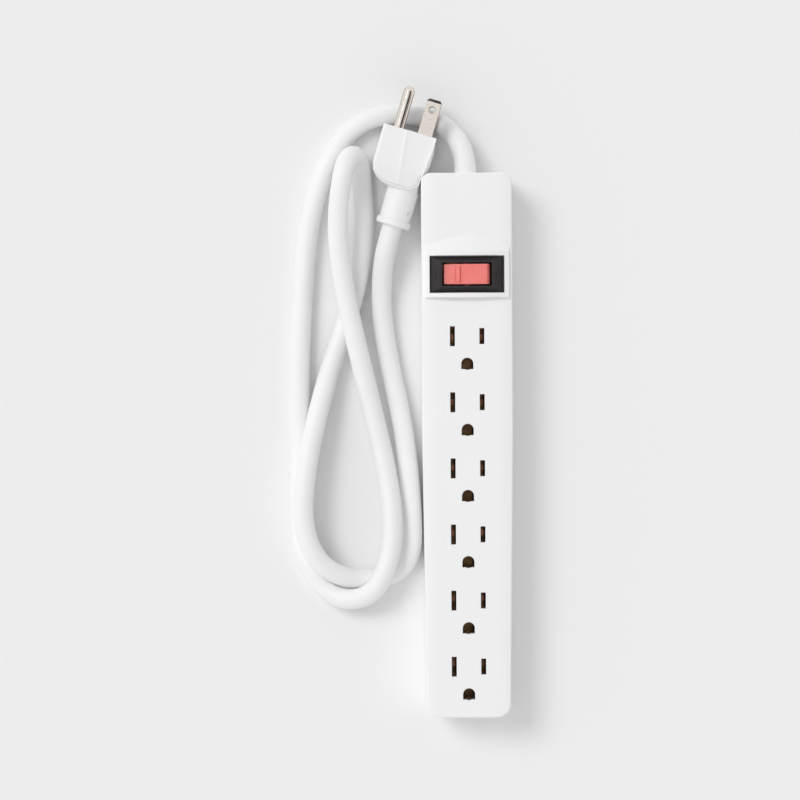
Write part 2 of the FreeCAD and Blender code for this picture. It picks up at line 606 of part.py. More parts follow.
def contact_lever():
    """A shallow V of copper that rocks on its knife edge, down at the live end at rest."""
    rise = LEVER_HALF * math.tan(math.radians(LEVER_V))
    y0 = SWITCH_Y - LEVER_WIDTH / 2
    under = [(-LEVER_HALF, y0, LEVER_Z + rise), (0, y0, LEVER_Z), (LEVER_HALF, y0, LEVER_Z + rise)]
    over = [(x, y, z + CONTACT_THICK) for x, y, z in reversed(under)]
    return rocked(prism(under + over, Vector(0, LEVER_WIDTH, 0)))


def rocked(shape):
    return turned(shape, (0, SWITCH_Y, LEVER_Z), Y_AXIS, LEVER_TILT)


def lever_under_z(x):
    """Height of the lever's underside at rest."""
    return LEVER_Z + x * math.tan(math.radians(LEVER_V - LEVER_TILT))


def moving_contact():
    """A button on the lever's underside, square to the arm that carries it."""
    slope = math.radians(LEVER_V - LEVER_TILT)
    start = (CONTACT_X, SWITCH_Y, lever_under_z(CONTACT_X))
    return rod(CONTACT_R, start, Vector(math.sin(slope), 0, -math.cos(slope)), CONTACT_THICK)


def strip_top_z():
    return lever_under_z(CONTACT_X) - 2 * CONTACT_THICK - CONTACT_GAP


def fixed_contact():
    return rod(CONTACT_R, (CONTACT_X, SWITCH_Y, strip_top_z()), Z_AXIS, CONTACT_THICK)


def bimetal_strip():
    top = strip_top_z()
    return box(5.4, STRIP_END_X, SWITCH_Y - 2, SWITCH_Y + 2, top - STRIP_THICK, top)


def terminal_tab(x, top_z):
    y0, y1 = SWITCH_Y - TAB_THICK / 2, SWITCH_Y + TAB_THICK / 2
    return box(x - TAB_WIDTH / 2, x + TAB_WIDTH / 2, y0, y1, TAB_FOOT_Z, top_z)


def line_terminal():
    """The middle tab, whose upper edge is the lever's knife edge."""
    y0 = SWITCH_Y - TAB_THICK / 2
    half, edge = TAB_WIDTH / 2, LEVER_Z - 0.05
    outline = [(-half, y0, TAB_FOOT_Z), (half, y0, TAB_FOOT_Z), (half, y0, 13.4), (0.3, y0, edge),
               (-0.3, y0, edge), (-half, y0, 13.4)]
    return prism(outline, Vector(0, TAB_THICK, 0))


def load_terminal():
    """The tab on the load side, with a foot under the bimetal strip's fixed end."""
    plate_top = PLATE_Z + PLATE_THICK
    strip_under = strip_top_z() - STRIP_THICK
    foot = box(STRIP_END_X - 1.8, STRIP_END_X, SWITCH_Y - 2, SWITCH_Y + 2, plate_top, strip_under)
    return joined([terminal_tab(TAB_X, plate_top + 0.3), foot])


def switch_base():
    """The plate that closes the switch, with cradles for the lamp and its resistor."""
    plate_top = PLATE_Z + PLATE_THICK
    size = (SWITCH_CAVITY[0] - 0.1, SWITCH_CAVITY[1] - 0.1)
    plate = centred_box(size, SWITCH_Y, PLATE_Z, plate_top)
    sides = ((1, LAMP_R), (-1, 1.0))
    cradles = [centred_box((0.9, 1.6), SWITCH_Y + side * LAMP_Y, plate_top - 0.5, LAMP_Z - radius + 0.05)
               .translated(Vector(x, 0, 0)) for x in (-7.55, -4.35) for side, radius in sides]
    lamp_seats = [rod(radius, (-12, SWITCH_Y + side * LAMP_Y, LAMP_Z), X_AXIS, 12) for side, radius in sides]
    plate = joined([plate] + cradles)
    passages = [terminal_tab(x, plate_top + 1) for x in (-TAB_X, 0, TAB_X)]
    return plate.cut(passages + lamp_seats)


def neon_lamp():
    start = (-9.0, SWITCH_Y + LAMP_Y, LAMP_Z)
    bulb = rod(LAMP_R, start, X_AXIS, 6.0)
    bulb = bulb.makeFillet(1.0, [e for e in bulb.Edges if e.BoundBox.XLength < 1e-4])
    leads = [rod(0.3, (-10.2, SWITCH_Y + LAMP_Y + dy, LAMP_Z), X_AXIS, 2.0) for dy in (-0.6, 0.6)]
    return joined([bulb] + leads)


def lamp_resistor():
    body = rod(1.0, (-8.4, SWITCH_Y - LAMP_Y, LAMP_Z), X_AXIS, 4.6)
    leads = rod(0.3, (-10.4, SWITCH_Y - LAMP_Y, LAMP_Z), X_AXIS, 8.4)
    return joined([body, leads])


def export_switch():
    export("switch_housing", switch_housing())
    export("rocker", rocker())
    export("plunger", plunger())
    export("plunger_spring", plunger_spring())
    export("contact_lever", contact_lever())
    export("moving_contact", moving_contact())
    export("fixed_contact", fixed_contact())
    export("bimetal_strip", bimetal_strip())
    export("line_terminal", line_terminal())
    export("load_terminal", load_terminal())
    export("lamp_terminal", terminal_tab(-TAB_X, PLATE_Z + PLATE_THICK + 0.8))
    export("switch_base", switch_base())
    export("neon_lamp", neon_lamp())
    export("lamp_resistor", lamp_resistor())


# ================================================================ wiring
def spade(x, direction):
    """A push-on receptacle over a tab, with a round crimp barrel along Y."""
    z0, z1 = TAB_FOOT_Z - 0.5, PLATE_Z - 0.4
    shell = box(x - 2.9, x + 2.9, SWITCH_Y - 1.2, SWITCH_Y + 1.2, z0, z1)
    start = SWITCH_Y + direction * 1.1
    barrel = rod(1.9, (x, start, 8.2), Y_AXIS * direction, 6.0)
    slot = box(x - 2.45, x + 2.45, SWITCH_Y - 0.45, SWITCH_Y + 0.45, z0 + 0.4, z1 + 1)
    return joined([shell, barrel]).cut(slot)


def wire(points, radius, bare, bare_r):
    """An insulated conductor. Its last run shows bare copper beyond the insulation."""
    tube = swept_tube(points, radius)[0]
    end, before = Vector(*points[-1]), Vector(*points[-2])
    direction = (end - before).normalize()
    return tube.fuse(rod(bare_r, tuple(end - direction * 0.5), direction, bare + 0.5)).removeSplitter()


def export_wiring():
    barrel_end = 7.1
    line_end, load_end = SWITCH_Y + barrel_end, SWITCH_Y - barrel_end
    bar_top = POLE_BAR_Z + BAR_THICK
    pole_z, ground_z = bar_top + BARE_R, GROUND_BAR_Z + BAR_THICK + BARE_R
    end_y = BAR_LEAD_Y + 1.0
    spades = [spade(0, 1), spade(TAB_X, -1), spade(-TAB_X, -1)]
    export("spade_terminals", group(spades))
    line_route = [(1.6, JACKET_END_Y, 14.9), (1.6, 94, 14.9), (1.0, 89, 11.2), (0, 84.5, 8.2),
                  (0, line_end, 8.2)]
    export("line_wire", swept_tube(line_route, WIRE_R)[0])
    neutral_route = [
        (-1.6, JACKET_END_Y, 14.9), (-1.6, 94.5, 14.9), (-4, 90, 12.5), (-9.6, 86, 7), (-13, 80, 4.8),
        (-13.8, 72, 4.6), (-13, 65, 5.0), (-10, 61, 7.8), (-7.4, 59.8, pole_z), (-7.4, end_y, pole_z),
    ]
    export("neutral_wire", wire(neutral_route, WIRE_R, BARE_LENGTH, BARE_R))
    ground_route = [
        (0, JACKET_END_Y, 12.1), (0, 94.5, 12.1), (-1.6, 90.5, 9), (-4.6, 87, 5), (-6.4, 81, 4.1),
        (-6.4, 70, 4.1), (-4.8, 63.8, 4.4), (-0.6, 60.2, ground_z), (0, end_y, ground_z),
    ]
    export("ground_wire", wire(ground_route, WIRE_R, BARE_LENGTH, BARE_R))
    load_route = [(TAB_X, load_end, 8.2), (TAB_X, 64.2, 8.2), (7.2, 61.4, 9.6), (BLADE_X, 59.2, pole_z),
                  (BLADE_X, end_y, pole_z)]
    export("load_wire", wire(load_route, WIRE_R, BARE_LENGTH, BARE_R))
    lamp_z = bar_top + THIN_BARE_R
    lamp_route = [(-TAB_X, load_end, 8.2), (-TAB_X, 64.6, 8.2), (-7.4, 62.6, 10.4), (-4.9, 60.6, 10.6),
                  (-4.7, 58.8, lamp_z), (-4.7, end_y, lamp_z)]
    export("lamp_wire", wire(lamp_route, THIN_WIRE_R, BARE_LENGTH, THIN_BARE_R))


# ================================================================ lead, clamp and bushing
def cord_clamp():
    block = box(-CLAMP_HALF, CLAMP_HALF, CLAMP_YS[0], CLAMP_YS[1], CORD_Z + 0.4, CLAMP_TOP_Z)
    block = block.makeFillet(1.0, edges_where(block, at_height(CLAMP_TOP_Z)))
    groove = rod(CORD_R, (0, CLAMP_YS[0] - 1, CORD_Z), Y_AXIS, 7)
    holes = [rod(SCREW_R + 0.1, (x, sum(CLAMP_YS) / 2, CORD_Z - 1), Z_AXIS, 9)
             for x in (-CLAMP_SCREW_X, CLAMP_SCREW_X)]
    return block.cut(holes + [groove])


def cord_bushing():
    """A rubber bushing whose flange sits inside the end wall and whose neck fills the exit hole."""
    inner_y = LENGTH / 2 - WALL
    flange = rod(BUSHING_FLANGE_R, (0, inner_y - BUSHING_FLANGE, CORD_Z), Y_AXIS, BUSHING_FLANGE)
    neck = rod(BUSHING_R, (0, inner_y, CORD_Z), Y_AXIS, WALL)
    bore = rod(CORD_R, (0, inner_y - BUSHING_FLANGE - 1, CORD_Z), Y_AXIS, BUSHING_FLANGE + WALL + 2)
    return flange.fuse(neck).removeSplitter().cut(bore)


def export_lead():
    tube, length, radii = swept_tube(CORD_ROUTE, CORD_R)
    section = math.pi * CORD_R ** 2
    print("cord radii", [round(r, 1) for r in radii])
    print(f"cord length {length:.1f} mm, volume ratio {tube.Volume / (section * length):.4f}")
    export("power_cord", tube)
    export("cord_jacket_end", rod(CORD_R, (0, JACKET_END_Y, CORD_Z), Y_AXIS, CORD_START_Y - JACKET_END_Y))
    export("cord_clamp", cord_clamp())
    middle = sum(CLAMP_YS) / 2
    clamps = [pan_screw(x, middle, CLAMP_TOP_Z, 13.0, False) for x in (-CLAMP_SCREW_X, CLAMP_SCREW_X)]
    export("clamp_screws", group(clamps))
    export("cord_bushing", cord_bushing())


# ================================================================ plug
def plug_placed(shape):
    """From the plug's own axes (X forwards, Y to the ground pin, Z up) to where it lies."""
    forwards = Vector(math.sin(math.radians(PLUG_YAW)), math.cos(math.radians(PLUG_YAW)), 0)
    pitch = math.radians(PLUG_PITCH)
    x_axis = forwards * math.cos(pitch) + Z_AXIS * math.sin(pitch)
    y_axis = Z_AXIS.cross(forwards)
    z_axis = x_axis.cross(y_axis)
    placed = shape.copy()
    placed.Placement = FreeCAD.Placement(Vector(*CORD_ROUTE[-1]), Rotation(x_axis, y_axis, z_axis, "ZXY"))
    return placed


def plug_outline(points, corner_r, along, offset):
    """An outline with rounded corners, extruded along the given direction."""
    block = prism(points, along)
    block.translate(offset)
    direction = Vector(along).normalize()
    sides = [e for e in block.Edges if abs(abs(e.tangentAt(e.FirstParameter).dot(direction)) - 1) < 1e-6]
    return block.makeFillet(corner_r, sides)


def plug_body():
    """A moulded body, flat at the pins and drawn in to a round neck that ends in a flange."""
    top, back_top = PLUG_HALF_HEIGHT, 8.2
    plan = [(PLUG_FACE, PLUG_GROUND_SIDE, 0), (22.0, PLUG_GROUND_SIDE, 0), (PLUG_BACK, 9.5, 0),
            (PLUG_BACK, -5.5, 0), (PLUG_FACE - 2, -PLUG_BLADE_SIDE, 0), (PLUG_FACE, -PLUG_BLADE_SIDE, 0)]
    side = [(PLUG_FACE, 0, top), (26.0, 0, top - 0.6), (PLUG_BACK, 0, back_top), (PLUG_BACK, 0, -back_top),
            (26.0, 0, 0.6 - top), (PLUG_FACE, 0, -top)]
    face = [(0, PLUG_GROUND_SIDE, top), (0, -PLUG_BLADE_SIDE, top), (0, -PLUG_BLADE_SIDE, -top),
            (0, PLUG_GROUND_SIDE, -top)]
    soft_corner = [(0, PLUG_GROUND_SIDE, 30), (0, -30, 30), (0, -30, -top), (0, PLUG_GROUND_SIDE, -top)]
    block = plug_outline(plan, 1.2, Vector(0, 0, 40), Vector(0, 0, -20))
    block = block.common(plug_outline(side, 1.2, Vector(0, 60, 0), Vector(0, -30, 0)))
    block = block.common(plug_outline(face, 1.5, Vector(60, 0, 0), Vector(0, 0, 0)))
    block = block.common(plug_outline(soft_corner, 5.5, Vector(60, 0, 0), Vector(0, 0, 0)))
    neck = rod(PLUG_NECK_R, (0, 0, 0), X_AXIS, PLUG_BACK + 1)
    flange = rod(PLUG_FLANGE_R, (0, 0, 0), X_AXIS, PLUG_FLANGE)
    body = joined([block, neck, flange])
    return body.cut([plug_insert()] + pin_roots())


def pin_roots():
    return [blade(side) for side in (-1, 1)] + [ground_pin()]


def plug_insert():
    """The hard bridge that holds the three pins inside the moulding."""
    back = PLUG_FACE - PIN_ROOT + 2
    block = box(back, PLUG_FACE - 2, PIN_BLADE_Y - 4, PIN_BLADE_Y + 15.5, -8.8, 8.8)
    return block.cut(pin_roots())


def blade(side):
    """A flat blade with a hole near its bevelled tip."""
    x0, x1 = PLUG_FACE - PIN_ROOT, PLUG_FACE + BLADE_LENGTH
    middle = side * BLADE_X
    z0, z1 = middle - BLADE_THICK / 2, middle + BLADE_THICK / 2
    y0, y1 = PIN_BLADE_Y - BLADE_WIDTH / 2, PIN_BLADE_Y + BLADE_WIDTH / 2
    flat = prism([(x0, y0, z0), (x0, y1, z0), (x1 - 0.8, y1, z0), (x1, y1 - 0.8, z0), (x1, y0 + 0.8, z0),
                  (x1 - 0.8, y0, z0)], Vector(0, 0, BLADE_THICK))
    bevel = prism([(x0, y0 - 1, z0), (x1 - 1.2, y0 - 1, z0), (x1, y0 - 1, z0 + 0.4), (x1, y0 - 1, z1 - 0.4),
                   (x1 - 1.2, y0 - 1, z1), (x0, y0 - 1, z1)], Vector(0, BLADE_WIDTH + 2, 0))
    hole = rod(BLADE_HOLE_R, (x1 - BLADE_HOLE_BACK, PIN_BLADE_Y, z0 - 1), Z_AXIS, BLADE_THICK + 2)
    return flat.common(bevel).cut(hole)


def ground_pin():
    y = PIN_BLADE_Y + GROUND_DROP
    x1 = PLUG_FACE + GROUND_PIN_LENGTH
    root = rod(PIN_ROOT_R, (PLUG_FACE - PIN_ROOT, y, 0), X_AXIS, PIN_ROOT)
    shaft = rod(GROUND_PIN_R, (PLUG_FACE, y, 0), X_AXIS, GROUND_PIN_LENGTH - 1.9)
    nose = Part.makeCone(GROUND_PIN_R, 1.0, 1.9, Vector(x1 - 1.9, y, 0), X_AXIS)
    nose = nose.makeFillet(0.5, edges_where(nose, lambda e: abs(e.BoundBox.XMin - x1) < 1e-4))
    return joined([root, shaft, nose])


def export_plug():
    export("plug_body", plug_placed(plug_body()))
    export("plug_insert", plug_placed(plug_insert()))
    export("plug_live_blade", plug_placed(blade(1)))
    export("plug_neutral_blade", plug_placed(blade(-1)))
    export("plug_ground_pin", plug_placed(ground_pin()))


# ================================================================ the whole strip
os.makedirs("parts", exist_ok=True)
export("top_cover", top_cover())
export("bottom_cover", bottom_cover())
export("cover_screws", group([pan_screw(x, y, HEAD_SEAT_Z, 14.5, True) for x, y in screw_places()]))
export_contacts()
export_switch()
export_wiring()
export_lead()
export_plug()
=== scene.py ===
"""The power strip's looks: its free lead, moulded plug and strain relief, and a finish for every part."""
import json
import math

import bmesh
import bpy
from mathutils import Matrix, Vector


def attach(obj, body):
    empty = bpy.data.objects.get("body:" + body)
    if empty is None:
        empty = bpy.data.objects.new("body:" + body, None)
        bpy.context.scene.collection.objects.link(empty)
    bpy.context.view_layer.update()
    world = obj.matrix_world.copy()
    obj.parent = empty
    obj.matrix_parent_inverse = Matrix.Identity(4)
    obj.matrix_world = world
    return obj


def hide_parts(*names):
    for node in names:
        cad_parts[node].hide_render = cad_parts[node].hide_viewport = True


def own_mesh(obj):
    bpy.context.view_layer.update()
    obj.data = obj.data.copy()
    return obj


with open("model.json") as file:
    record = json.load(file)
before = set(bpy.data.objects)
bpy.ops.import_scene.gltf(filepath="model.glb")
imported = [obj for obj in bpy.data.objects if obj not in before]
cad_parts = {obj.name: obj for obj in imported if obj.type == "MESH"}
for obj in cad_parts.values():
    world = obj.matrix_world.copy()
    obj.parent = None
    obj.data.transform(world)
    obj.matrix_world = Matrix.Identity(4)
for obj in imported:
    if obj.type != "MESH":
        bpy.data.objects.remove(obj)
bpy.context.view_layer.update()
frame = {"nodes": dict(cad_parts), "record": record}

MM = 0.001
scene = bpy.context.scene
nodes = frame["nodes"]

# ---------------------------------------------------------------- camera: straight down, turned a little
CAMERA_HEIGHT = 1.300
CAMERA_X = -0.02912
CAMERA_Y = 0.01963
CAMERA_TURN = -0.324      # degrees about the line of sight
LENS_MM = 132.85
SENSOR_MM = 36.0


def add_camera():
    data = bpy.data.cameras.new("camera")
    data.lens = LENS_MM
    data.sensor_width = SENSOR_MM
    camera = bpy.data.objects.new("camera", data)
    camera.location = (CAMERA_X, CAMERA_Y, CAMERA_HEIGHT)
    camera.rotation_euler = (0, 0, math.radians(CAMERA_TURN))
    scene.collection.objects.link(camera)
    scene.camera = camera


# ---------------------------------------------------------------- lead
CORD_R = 4.4 * MM
CORD_EXIT = (0, 0.1175, 0.014)
CORD_ROUTE = [
    (0, 113, 14), (0, 123.5, 14), (-3, 133, 10.2), (-9.5, 140.3, 4.5), (-19.5, 144.2, 4.5),
    (-31, 145.4, 4.5), (-44.7, 142.6, 4.5), (-56, 132, 4.5), (-63.5, 117, 4.5), (-69, 96, 4.5),
    (-71.5, 67.5, 4.5), (-73, 37, 4.5), (-73, 6, 4.5), (-73.5, -24.5, 4.5), (-72.5, -44, 4.5),
    (-68.5, -56, 4.5), (-60.5, -65, 6), (-52, -68, 9), (-42.5, -65.5, 12.5), (-36.5, -57, 14.5),
    (-33, -45.5, 14.5), (-32.5, -29.5, 12), (-35.5, -9, 9.5), (-41, 15, 10), (-47, 40, 14.5),
    (-52, 62, 14.5), (-55, 81, 16.5), (-56, 100, 19.5), (-53, 121.5, 21.5), (-49, 127.5, 13),
    (-45.5, 123, 4.5), (-45, 111.5, 4.5), (-44, 94.5, 4.5), (-47.5, 69.5, 4.5), (-53.5, 52, 4.5),
    (-60, 32.5, 6), (-66, 10.5, 11), (-70, -9, 13.5), (-72, -27.5, 14), (-70, -42, 13.5),
    (-64.5, -51.5, 12), (-56.5, -57, 9), (-48, -59, 5.5), (-37.5, -58.5, 4.5), (-28.5, -54.5, 4.5),
    (-24, -46, 4.5), (-24, -32, 4.5), (-25.5, -10.5, 4.5), (-28.5, 12.5, 4.5), (-34, 36.5, 4.5),
    (-37, 57, 4.5), (-37, 70, 6), (-35.8, 81.5, 11), (-33.6, 89.9, 12.4), (-31.6, 96.6, 12.9),
]


def route_curve(name, points, radius):
    """A smooth curve with the route's points as its control points, which carry the tube's radius."""
    data = bpy.data.curves.new(name, "CURVE")
    data.dimensions = "3D"
    data.resolution_u = 12
    data.bevel_depth = 1.0 if radius else 0.0
    data.bevel_resolution = 8
    data.use_fill_caps = radius > 0
    spline = data.splines.new("NURBS")
    spline.points.add(len(points) - 1)
    for point, place in zip(spline.points, points):
        point.co = (place[0] * MM, place[1] * MM, place[2] * MM, 1)
        point.radius = radius
    spline.order_u = 3
    spline.use_endpoint_u = True
    spline.use_smooth = True
    curve = bpy.data.objects.new(name, data)
    scene.collection.objects.link(curve)
    return curve


def line_of(curve):
    """The points along a curve that has no bevel."""
    bpy.context.view_layer.update()
    mesh = bpy.data.meshes.new_from_object(curve)
    line = [v.co.copy() for v in mesh.vertices]
    bpy.data.meshes.remove(mesh)
    return line


def add_cord():
    guide = route_curve("cord_guide", CORD_ROUTE, 0)
    line = line_of(guide)
    bpy.data.objects.remove(guide)
    cord = route_curve("lead_jacket", CORD_ROUTE, CORD_R)
    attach(cord, "housing")
    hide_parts("power_cord")
    return cord, line


# ---------------------------------------------------------------- mesh helpers
def object_from(name, bm, body):
    for face in bm.faces:
        face.smooth = True
    bmesh.ops.recalc_face_normals(bm, faces=bm.faces)
    mesh = bpy.data.meshes.new(name)
    bm.to_mesh(mesh)
    bm.free()
    piece = bpy.data.objects.new(name, mesh)
    scene.collection.objects.link(piece)
    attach(piece, body)
    return piece


def loft(bm, rings):
    """Skins rings of the same number of points and closes both ends."""
    rows = [[bm.verts.new(p) for p in ring] for ring in rings]
    count = len(rows[0])
    for low, high in zip(rows, rows[1:]):
        for i in range(count):
            j = (i + 1) % count
            bm.faces.new((low[i], low[j], high[j], high[i]))
    bm.faces.new(rows[0])
    bm.faces.new(rows[-1])


def smooth_step(t):
    t = min(1.0, max(0.0, t))
    return t * t * (3 - 2 * t)


def interpolate(table, x):
    """Along straight lines between the rows of a table of (x, value)."""
    if x <= table[0][0]:
        return table[0][1]
    for (x0, v0), (x1, v1) in zip(table, table[1:]):
        if x <= x1:
            return v0 + (v1 - v0) * (x - x0) / (x1 - x0)
    return table[-1][1]


# ---------------------------------------------------------------- strain relief
RELIEF_LENGTH = 22 * MM
RELIEF_SEGMENTS = 44
RELIEF_SIDES = 40
RELIEF_TAPER = 0.45       # how much the radius falls from the casing to the thin end
RELIEF_SUNK = 0.05        # how far the sleeve's thin end lies inside the lead
RELIEF_RIDGE = 0.05
RELIEF_RIDGES = 7


def point_on(line, distance):
    """The place and direction at a distance along a line."""
    for start, end in zip(line, line[1:]):
        run = (end - start).length
        if distance <= run:
            return start.lerp(end, distance / run), (end - start).normalized()
        distance -= run
    return line[-1].copy(), (line[-1] - line[-2]).normalized()


def add_strain_relief(line):
    """A thin tapered sleeve that hugs the lead from the end wall onwards."""
    start = CORD_EXIT[1] - line[0].y
    bm = bmesh.new()
    rings = []
    for i in range(RELIEF_SEGMENTS + 1):
        share = i / RELIEF_SEGMENTS
        place, along = point_on(line, start + share * RELIEF_LENGTH)
        side = along.cross(Vector((0, 0, 1))).normalized()
        up = side.cross(along)
        radius = CORD_R + (RELIEF_TAPER * (1 - share) - RELIEF_SUNK) * MM
        ridge = RELIEF_RIDGE * MM * math.cos(share * 2 * math.pi * RELIEF_RIDGES) * (1 - share)
        rings.append([place + (side * math.cos(a) + up * math.sin(a)) * (radius + ridge)
                      for a in (2 * math.pi * k / RELIEF_SIDES for k in range(RELIEF_SIDES))])
    loft(bm, rings)
    return object_from("cord_strain_relief", bm, "housing")


# ---------------------------------------------------------------- plug
PLUG_YAW = math.radians(16.8)
PLUG_PITCH = math.radians(4.0)
PLUG_FACE = 40.5
PLUG_BACK = 15.5
PLUG_FLANGE_R = 7.6
PLUG_NECK_R = 6.65
RING_ARC = 24             # points round each corner of a ring across the plug
RING_FLAT = 110           # and along its top and its underside
RING_SIDE = 20            # and up each side


def plug_matrix():
    forwards = Vector((math.sin(PLUG_YAW), math.cos(PLUG_YAW), 0))
    x_axis = forwards * math.cos(PLUG_PITCH) + Vector((0, 0, 1)) * math.sin(PLUG_PITCH)
    y_axis = Vector((0, 0, 1)).cross(forwards)
    z_axis = x_axis.cross(y_axis)
    turn = Matrix((x_axis, y_axis, z_axis)).transposed().to_4x4()
    return Matrix.Translation(Vector(CORD_ROUTE[-1]) * MM) @ turn @ Matrix.Scale(MM, 4)


def rounded_ring(x, y0, y1, half, radii):
    """A rectangle across the plug with rounded corners, anticlockwise from the ground side's top."""
    limit = min(half, (y1 - y0) / 2) - 0.01
    spots = []
    for (side, up), radius in zip(((1, 1), (-1, 1), (-1, -1), (1, -1)), radii):
        radius = min(radius, limit)
        spots.append(((y1 if side > 0 else y0) - side * radius, up * (half - radius), radius))
    points = []
    for index, (y, z, radius) in enumerate(spots):
        for k in range(RING_ARC):
            angle = math.radians(90 * (index + k / RING_ARC))
            points.append((x, y + radius * math.cos(angle), z + radius * math.sin(angle)))
        corner = math.radians(90 * (index + 1))
        across, up = math.cos(corner), math.sin(corner)
        next_y, next_z, next_radius = spots[(index + 1) % 4]
        from_y, from_z = y + radius * across, z + radius * up
        to_y, to_z = next_y + next_radius * across, next_z + next_radius * up
        count = RING_SIDE if index % 2 else RING_FLAT
        for k in range(count):
            share = k / count
            points.append((x, from_y + (to_y - from_y) * share, from_z + (to_z - from_z) * share))
    return points


LEFT_SIDE = [
    (PLUG_BACK - 0.3, 7.4), (PLUG_BACK, 8.6), (16.2, 10.6), (17.2, 12.3), (18.6, 13.8), (20.2, 14.9),
    (22.2, 15.6), (24.5, 15.85), (PLUG_FACE, 15.85),
]
RIGHT_SIDE = [
    (PLUG_BACK - 0.3, -6.9), (PLUG_BACK, -6.6), (17.5, -6.2), (21, -6.2), (23.5, -6.9), (27, -8.2),
    (34, -8.2), (38.6, -7.75), (PLUG_FACE, -7.75),
]
HALF_HEIGHT = [
    (PLUG_BACK - 0.3, 7.2), (PLUG_BACK, 7.6), (16.5, 8.4), (19, 9.6), (23, 11.2), (27, 11.8), (33, 12.1),
    (PLUG_FACE, 12.2),
]
CRISP_CORNER = [(PLUG_BACK - 0.3, 6.8), (PLUG_BACK, 6.2), (19, 3.0), (24, 1.5), (PLUG_FACE, 1.3)]
SOFT_CORNER = [(PLUG_BACK - 0.3, 6.8), (PLUG_BACK, 6.4), (19, 5.6), (PLUG_FACE, 5.6)]
PANEL_LIFT = 0.9
PANEL_EDGE = 0.35
PANEL_BACK = 16.6
PANEL_CORNER = 4.2
GROOVE_DEPTH = 1.9        # it stands up instead of sinking: see lifted()
GROOVE_OUT = 0.55         # outside the panel's outline
GROOVE_WIDTH = 0.45
CREASE_RISE = 0.22
CREASE_WIDTH = 0.8
BAND_START = 36.6
BAND_DROP = 0.22
NECK_DIMPLES = [(11.1, 22), (5.9, 37)]    # place along the neck, and degrees up from the blade side
DIMPLE_DEPTH = 1.9
DIMPLE_R = 0.62


def panel_depth(x, y):
    """How far inside the raised panel's outline a point of the top lies."""
    right = -7.1 + (35 - min(x, 35)) * 0.09
    dx, dy = x - PANEL_BACK, y - right
    if dx < PANEL_CORNER and dy < PANEL_CORNER:
        return PANEL_CORNER - math.hypot(PANEL_CORNER - dx, PANEL_CORNER - dy)
    return min(dx, dy)


def lifted(point):
    """Raises the panel on the top and the underside, with a fin round it, a soft crease and a front band.

    Known fault: copysign drops the offset's own sign, so what should sink, above all the groove round the
    panel, is raised by as much.
    """
    x, y, z = point
    if x < PLUG_BACK or abs(z) < 6:
        return point
    depth = panel_depth(x, y)
    rise = PANEL_LIFT * smooth_step(depth / PANEL_EDGE + 0.5)
    groove = GROOVE_DEPTH * math.exp(-((depth + GROOVE_OUT) / GROOVE_WIDTH) ** 2)
    off_crease = y - 2.7 - (x - 17.4) * 0.113
    fall = 0.02 if off_crease > 0 else 0.05
    crease = CREASE_RISE * math.exp(-(off_crease / CREASE_WIDTH) ** 2) - fall * abs(off_crease)
    band = BAND_DROP * smooth_step((x - BAND_START) / 0.5)
    return (x, y, z + math.copysign(rise - groove + crease - band, z))


def dimpled(point):
    """Sinks the neck's small holes."""
    x, y, z = point
    radius = math.hypot(y, z)
    angle = math.atan2(z, -y)
    sink = 0
    for at, up in NECK_DIMPLES:
        away = math.hypot(x - at, radius * (angle - math.radians(up)))
        sink += DIMPLE_DEPTH * math.exp(-(away / DIMPLE_R) ** 4)
    return (x, y * (1 - sink / radius), z * (1 - sink / radius))


def neck_rings():
    """The flange and the neck, as (place along the plug, radius)."""
    neck = [(-1.0, 6.9), (-0.9, 7.25), (-0.6, PLUG_FLANGE_R - 0.1), (-0.2, PLUG_FLANGE_R),
            (1.3, PLUG_FLANGE_R), (1.65, PLUG_FLANGE_R - 0.1), (1.85, PLUG_FLANGE_R - 0.45),
            (1.95, PLUG_NECK_R + 0.15)]
    neck += [(2.2 + 0.3 * i, PLUG_NECK_R + 0.01 * i) for i in range(42)]
    neck += [(14.9, PLUG_NECK_R + 0.44), (15.1, PLUG_NECK_R + 0.5)]
    return [[dimpled(p) for p in rounded_ring(x, -radius, radius, radius, (radius,) * 4)]
            for x, radius in neck]


def body_rings():
    stations = [PLUG_BACK - 0.3, PLUG_BACK, 15.75] + [16.0 + 0.3 * i for i in range(81)]
    sections = [(x, 0.0) for x in stations]
    sections += [(PLUG_FACE - 0.3, 0.05), (PLUG_FACE - 0.1, 0.15), (PLUG_FACE, 0.35)]
    rings = []
    for x, inset in sections:
        crisp, soft = interpolate(CRISP_CORNER, x), interpolate(SOFT_CORNER, x)
        ring = rounded_ring(x, interpolate(RIGHT_SIDE, x) + inset, interpolate(LEFT_SIDE, x) - inset,
                            interpolate(HALF_HEIGHT, x) - inset, (crisp, crisp, crisp, soft))
        rings.append([lifted(p) for p in ring])
    return rings


def add_plug():
    bm = bmesh.new()
    loft(bm, neck_rings() + body_rings())
    bmesh.ops.transform(bm, matrix=plug_matrix(), verts=bm.verts)
    plug = object_from("plug_moulding", bm, "housing")
    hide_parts("plug_body")
    return plug


def add_spring():
    """The plunger's spring again, as a piece of its own that rides on the rocker's body."""
    bpy.context.view_layer.update()
    coil = nodes["plunger_spring"]
    spring = bpy.data.objects.new("plunger_coil", coil.data.copy())
    spring.matrix_world = coil.matrix_world.copy()
    scene.collection.objects.link(spring)
    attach(spring, "rocker")
    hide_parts("plunger_spring")
    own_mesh(spring)
    return spring


# ---------------------------------------------------------------- materials
MIX_COLOUR_INPUTS = (6, 7)     # the Mix node's two colour sockets, which share their names with others


